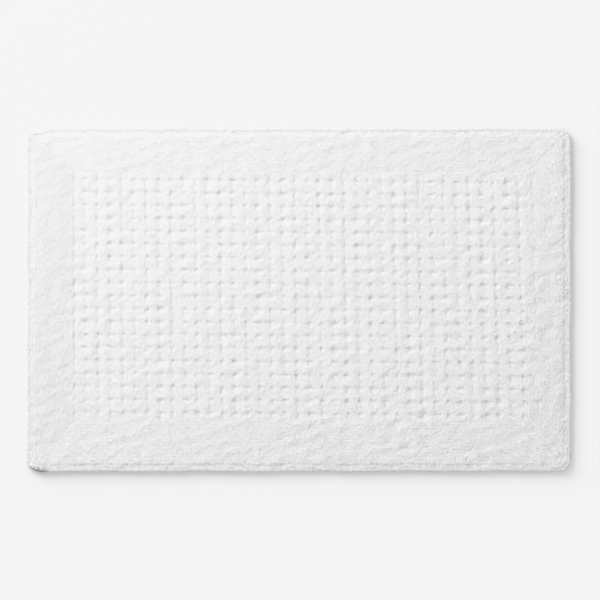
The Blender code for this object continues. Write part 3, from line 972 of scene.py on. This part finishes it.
def make_back_coat(material):
    """The latex coat, with the label's recess in its underside. Its tone is dark between the stitches and in
    the recess, as painted shade.
    """
    low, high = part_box("back_coat")
    label_low, label_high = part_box("care_label")
    recess_low, recess_high = label_low - Vector([RECESS_GAP] * 3), label_high + Vector([RECESS_GAP] * 3)
    xs, ys = (coat_lines(low[axis], high[axis], COAT_GRID[axis], recess_low[axis], recess_high[axis])
              for axis in (0, 1))
    x, y = np.meshgrid(xs, ys)
    inside = (x >= recess_low.x) & (x <= recess_high.x) & (y >= recess_low.y) & (y <= recess_high.y)
    z = np.where(inside, RECESS_HEIGHT, coat_height(x, y))
    under = np.stack([x, y, z], -1).reshape(-1, 3)
    rim = grid_rim(*z.shape)
    lid = under[rim].copy()
    lid[:, 2] = high.z
    lid_index = np.arange(len(rim)) + len(under)
    parts = MeshParts()
    # The tone paints shade: darker where the underside lies higher, between the stitches and in the label's
    # recess
    parts.add(np.concatenate([under, lid, [[0, 0, high.z]]]),
              quads=np.concatenate([grid_faces(*z.shape)[:, ::-1], band(lid_index, rim)]),
              triangles=fan(lid_index, len(under) + len(lid)),
              tone=np.concatenate([(1 - z / COAT_RELIEF).ravel(), np.full(len(lid) + 1, 0.5)]))
    piece = parts.to_object("back_coat_latex", material, crease_angle=50)
    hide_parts("back_coat")
    return piece


def add_stitches(parts, start, end, rise, radius):
    """Short lengths of thread between pairs of points, each bowed by rise and diving at both ends."""
    up = np.array([0.0, 0.0, 1.0])
    side = np.cross(unit(end - start), up)
    rings = []
    for share in np.linspace(0, 1, STITCH_RINGS):
        from_middle = abs(2 * share - 1)
        centre = start + (end - start) * share + up * rise * (1 - from_middle ** 3)
        thickness = radius * (1 - STITCH_THINNING * from_middle ** 2)
        for corner in range(STITCH_SIDES):
            angle = math.tau * corner / STITCH_SIDES
            rings.append(centre + thickness * (side * math.cos(angle) + up * math.sin(angle)))
    points = np.stack(rings, 1)
    per_stitch = len(rings)
    tube = grid_faces(STITCH_RINGS, STITCH_SIDES, closed=True)[:, ::-1]
    end_cap = cap(np.arange(STITCH_SIDES))
    caps = np.concatenate([end_cap, end_cap[:, ::-1] + per_stitch - STITCH_SIDES])
    offset = (np.arange(len(start)) * per_stitch)[:, None, None]
    parts.add(points, quads=tube[None] + offset, triangles=caps[None] + offset)


def make_seam(name, node, end_height, rise, material):
    """One thread's stitches all round the mat."""
    parts = MeshParts()
    for side in SIDES:
        starts = np.arange(FIRST_STITCH, side_length(side) / STITCH_LENGTH - 1) * STITCH_LENGTH
        first, _ = outline_point(side, starts, SEAM_INSET)
        second, _ = outline_point(side, starts + STITCH_SHARE * STITCH_LENGTH, SEAM_INSET)
        # At a corner whose radius is smaller than the inset, some stitches would have no length
        whole = np.linalg.norm(second - first, axis=1) > STITCH_LENGTH / 2
        height = np.full((whole.sum(), 1), end_height)
        start = np.concatenate([first[whole], height], 1)
        end = np.concatenate([second[whole], height], 1)
        add_stitches(parts, start, end, rise, THREAD_RADIUS)
    piece = parts.to_object(name, material)
    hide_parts(node)
    return piece


def make_label(material):
    """A blank satin ribbon, sewn down at one end and lying loose at the other."""
    low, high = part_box("care_label")
    x, y = np.meshgrid(*(np.linspace(low[axis], high[axis], LABEL_GRID[axis]) for axis in (0, 1)))
    loose = (x - low.x) / (high.x - low.x)
    wave = LABEL_WAVE * loose * np.sin(x * LABEL_WAVES[0] + y * LABEL_WAVES[1])
    parts = MeshParts()
    add_slab(parts, np.stack([x, y, high.z + wave], -1), low.z + wave)
    piece = parts.to_object("care_label_ribbon", material, crease_angle=60)
    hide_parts("care_label")
    return piece


def make_label_tack(material):
    low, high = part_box("care_label")
    starts = np.arange(low.y + TACK_START, high.y - TACK_STITCH, TACK_STITCH)
    start = np.array([(low.x + TACK_INSET, y, low.z) for y in starts])
    end = start + np.array([0, TACK_STITCH * STITCH_SHARE, 0])
    parts = MeshParts()
    add_stitches(parts, start, end, TACK_RISE, TACK_RADIUS)
    piece = parts.to_object("label_tack_stitches", material)
    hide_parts("label_tack")
    return piece


def make_underside():
    """The layers under the pile. Returns their pieces, grouped by material."""
    cloth, latex, thread, satin = woven_cloth(), latex_coat(), sewing_thread(), satin_ribbon()
    weave = make_base_cloth(cloth)
    hems = [make_hem(side, cloth) for side in SIDES]
    coat = make_back_coat(latex)
    needle_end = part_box("needle_thread")[0].z + NEEDLE_STITCH[0]
    needle = make_seam("needle_stitches", "needle_thread", needle_end, NEEDLE_STITCH[1], thread)
    bobbin_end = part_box("bobbin_thread")[1].z + BOBBIN_STITCH[0]
    bobbin = make_seam("bobbin_stitches", "bobbin_thread", bobbin_end, BOBBIN_STITCH[1], thread)
    label = make_label(satin)
    tack = make_label_tack(thread)
    return {"base_cloth": [weave, *hems], "back_coat": [coat], "label": [label],
            "thread": [needle, bobbin, tack]}


# -------------------- materials

class Look:
    """A material and the nodes that feed its shader."""

    def __init__(self, name):
        self.material = bpy.data.materials.new(name)
        self.material.use_nodes = True
        self.tree = self.material.node_tree
        self.shader = self.tree.nodes["Principled BSDF"]

    def feed(self, node, inputs):
        """Sets a node's inputs to numbers and colours, or links them to other nodes' outputs."""
        for name, value in inputs.items():
            if isinstance(value, bpy.types.NodeSocket):
                self.tree.links.new(value, node.inputs[name])
            else:
                node.inputs[name].default_value = value

    def node(self, kind, inputs, output, **settings):
        """Adds a node and returns one of its outputs."""
        node = self.tree.nodes.new("ShaderNode" + kind)
        for name, value in settings.items():
            setattr(node, name, value)
        self.feed(node, inputs)
        return node.outputs[output]

    def place(self):
        """The point's place in the mat's own coordinates."""
        return self.node("TexCoord", {}, "Object")

    def tone(self):
        """The tone that the mesh carries."""
        return self.node("Attribute", {}, "Fac", attribute_name="tone")

    def noise(self, scale, detail=2.0, stretch=(1.0, 1.0, 1.0)):
        """A noise that is finer along the larger numbers of stretch."""
        place = self.node("Mapping", {"Vector": self.place(), "Scale": stretch}, "Vector")
        return self.node("TexNoise", {"Vector": place, "Scale": scale, "Detail": detail}, "Fac")

    def bands(self, direction, pitch, distortion=0.8):
        """Soft parallel bands a pitch apart."""
        scale = math.tau / 20 / pitch
        inputs = {"Vector": self.place(), "Scale": scale, "Distortion": distortion, "Detail": 1.0}
        return self.node("TexWave", inputs, "Fac", bands_direction=direction)

    def math(self, operation, *values):
        return self.node("Math", dict(enumerate(values)), 0, operation=operation)

    def ramp(self, value, low, high):
        """Runs a value through a ramp between two colours, or between two greys given as numbers."""
        color = self.node("ValToRGB", {"Fac": value}, "Color")
        for element, end in zip(color.node.color_ramp.elements, (low, high)):
            element.color = (*end, 1) if isinstance(end, tuple) else (end, end, end, 1)
        return color

    def bump(self, height, distance, strength):
        return self.node("Bump", {"Height": height, "Distance": distance, "Strength": strength}, "Normal")

    def finish(self, inputs):
        self.feed(self.shader, inputs)
        return self.material


def cotton_pile():
    """Matt cotton yarn with fine fibres, a little cloudy. Its tone comes with each strand, and carries
    painted light and shade.
    """
    look = Look("cotton_pile")
    tone = look.math("MULTIPLY_ADD", look.noise(28.0), 0.04, look.tone())
    return look.finish({
        "Base Color": look.ramp(tone, 0.20, 0.94),
        "Normal": look.bump(look.noise(1400.0), 0.0004, 0.35),
        "Roughness": 0.95, "Specular IOR Level": 0.15, "Sheen Weight": 0.15, "Sheen Roughness": 0.6})


def woven_cloth():
    """Plain-weave unbleached cotton with slubby yarns."""
    look = Look("woven_cloth")
    weave = look.math("MAXIMUM", look.bands("X", CLOTH_YARN_PITCH), look.bands("Y", CLOTH_YARN_PITCH))
    slubs = look.noise(160.0, 3.0, (1.0, 6.0, 1.0))
    shade = look.math("ADD", look.math("MULTIPLY", weave, slubs), 0.25)
    return look.finish({
        "Base Color": look.ramp(shade, (0.56, 0.54, 0.48), (0.84, 0.83, 0.79)),
        "Roughness": look.ramp(slubs, 0.80, 0.98),
        "Normal": look.bump(weave, 0.00032, 0.8),
        "Specular IOR Level": 0.2, "Sheen Weight": 0.15})


def latex_coat():
    """Brushed-on latex: cream, matt, mottled where it is thinner, with small pits, and painted shade between
    the stitches from the mesh's tone.
    """
    look = Look("latex_coat")
    brush = look.noise(90.0, 3.0, (1.0, 0.18, 1.0))
    cloud = look.math("MULTIPLY", look.math("ADD", look.noise(34.0, 5.0), brush), 0.42)
    # The mesh's tone adds painted shade between the stitches and in the label's recess
    tone = look.math("ADD", cloud, look.math("MULTIPLY", look.tone(), 0.30))
    return look.finish({
        "Base Color": look.ramp(tone, (0.62, 0.59, 0.51), (0.86, 0.84, 0.79)),
        "Roughness": look.ramp(brush, 0.48, 0.82),
        "Normal": look.bump(look.noise(900.0), 0.0002, 0.5),
        "Specular IOR Level": 0.4})


def sewing_thread():
    """Spun thread: pale, with its twist as fine slanting ridges."""
    look = Look("sewing_thread")
    twist = look.bands("DIAGONAL", THREAD_TWIST_PITCH, 0.3)
    return look.finish({
        "Base Color": look.ramp(look.math("MULTIPLY", twist, 0.9), (0.70, 0.70, 0.67), (0.90, 0.90, 0.88)),
        "Roughness": look.ramp(look.noise(1500.0), 0.55, 0.85),
        "Normal": look.bump(twist, 0.0001, 0.7),
        "Sheen Weight": 0.3})


def satin_ribbon():
    """Blank polyester satin: long floats across the ribbon give it a silky sheen."""
    look = Look("satin_ribbon")
    cloudy = look.noise(120.0)
    return look.finish({
        "Base Color": look.ramp(look.math("MULTIPLY", cloudy, 1.2), (0.84, 0.84, 0.82), (0.93, 0.93, 0.92)),
        "Roughness": look.ramp(cloudy, 0.28, 0.42),
        "Normal": look.bump(look.bands("X", SATIN_YARN_PITCH, 0.2), 0.00008, 0.6),
        "Sheen Weight": 0.25})


def pale_floor():
    """A plain floor, a little paler towards the front right, with a soft glow far away."""
    look = Look("floor")
    place = look.place()
    across = look.node("VectorMath", {0: place, 1: FLOOR_GRADIENT}, "Value", operation="DOT_PRODUCT")
    limit = FLOOR_GRADIENT_LIMIT
    shade = look.node("MapRange", {
        "Value": across, "From Min": -limit, "From Max": limit,
        "To Min": FLOOR_TONE - limit, "To Max": FLOOR_TONE + limit}, "Result")
    distance = look.node("VectorMath", {0: place}, "Value", operation="LENGTH")
    glow = look.node("MapRange", {
        "Value": distance, "From Min": FAR_FLOOR[0], "From Max": FAR_FLOOR[1], "To Max": FAR_FLOOR_GLOW},
        "Result", interpolation_type="SMOOTHSTEP")
    return look.finish({
        "Base Color": shade, "Emission Color": (1.0, 1.0, 1.0, 1.0), "Emission Strength": glow,
        "Roughness": 0.9, "Specular IOR Level": 0.0})


# -------------------- stage

def make_floor():
    mesh = bpy.data.meshes.new("floor")
    corners = [(FLOOR_SIZE * x, FLOOR_SIZE * y, 0) for x, y in ((-1, -1), (1, -1), (1, 1), (-1, 1))]
    mesh.from_pydata(corners, [], [(0, 1, 2, 3)])
    mesh.materials.append(pale_floor())
    floor = link_object("floor", mesh)


def make_lights():
    """A large soft light at the back left with a weaker low one beside it, in a pale room."""
    for name, (place, target, size, power) in LIGHTS.items():
        data = bpy.data.lights.new(name, "AREA")
        data.shape = "SQUARE"
        data.size = size
        data.energy = power
        light = link_object(name, data)
        light.location = place
        light.rotation_euler = (Vector(target) - Vector(place)).to_track_quat("-Z", "Y").to_euler()
    world = bpy.data.worlds.new("studio")
    bpy.context.scene.world = world
    world.use_nodes = True
    nodes, links = world.node_tree.nodes, world.node_tree.links
    kinds = ("TexCoord", "SeparateXYZ", "ValToRGB")
    direction, height, ramp = (nodes.new("ShaderNode" + kind) for kind in kinds)
    for element, (position, tone) in zip(ramp.color_ramp.elements, ROOM):
        element.position = position
        element.color = (tone, tone, tone, 1)
    links.new(direction.outputs["Generated"], height.inputs["Vector"])
    links.new(height.outputs["Z"], ramp.inputs["Fac"])
    links.new(ramp.outputs["Color"], nodes["Background"].inputs["Color"])


def make_camera():
    data = bpy.data.cameras.new("camera")
    data.lens = 100
    data.sensor_width = 36
    camera = link_object("camera", data)
    distance = CAMERA_VIEW_WIDTH / 2 / (data.sensor_width / 2 / data.lens) + TOP / 2
    camera.location = (*CAMERA_OFFSET, distance)
    bpy.context.scene.camera = camera


def set_tone():
    """A camera's shoulder: the floor is a touch below white, and bright pile closes up towards it."""
    view = bpy.context.scene.view_settings
    view.view_transform = "Standard"
    view.use_curve_mapping = True
    mapping = view.curve_mapping
    mapping.extend = "HORIZONTAL"
    all_channels = mapping.curves[3]
    all_channels.points[0].location = (0, 0)
    all_channels.points[1].location = TONE_CURVE[-1]
    for place in TONE_CURVE[:-1]:
        all_channels.points.new(*place)
    mapping.update()


def main():
    cotton = cotton_pile()
    pieces = make_field(cotton)
    for side in SIDES:
        pieces.append(make_border(side, cotton))
        pieces.append(make_roll(side, cotton))
    made = {"pile": pieces, **make_underside()}
    for slot, members in made.items():
        for piece in members:
            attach(piece, "root")
    make_floor()
    make_lights()
    make_camera()
    set_tone()


main()
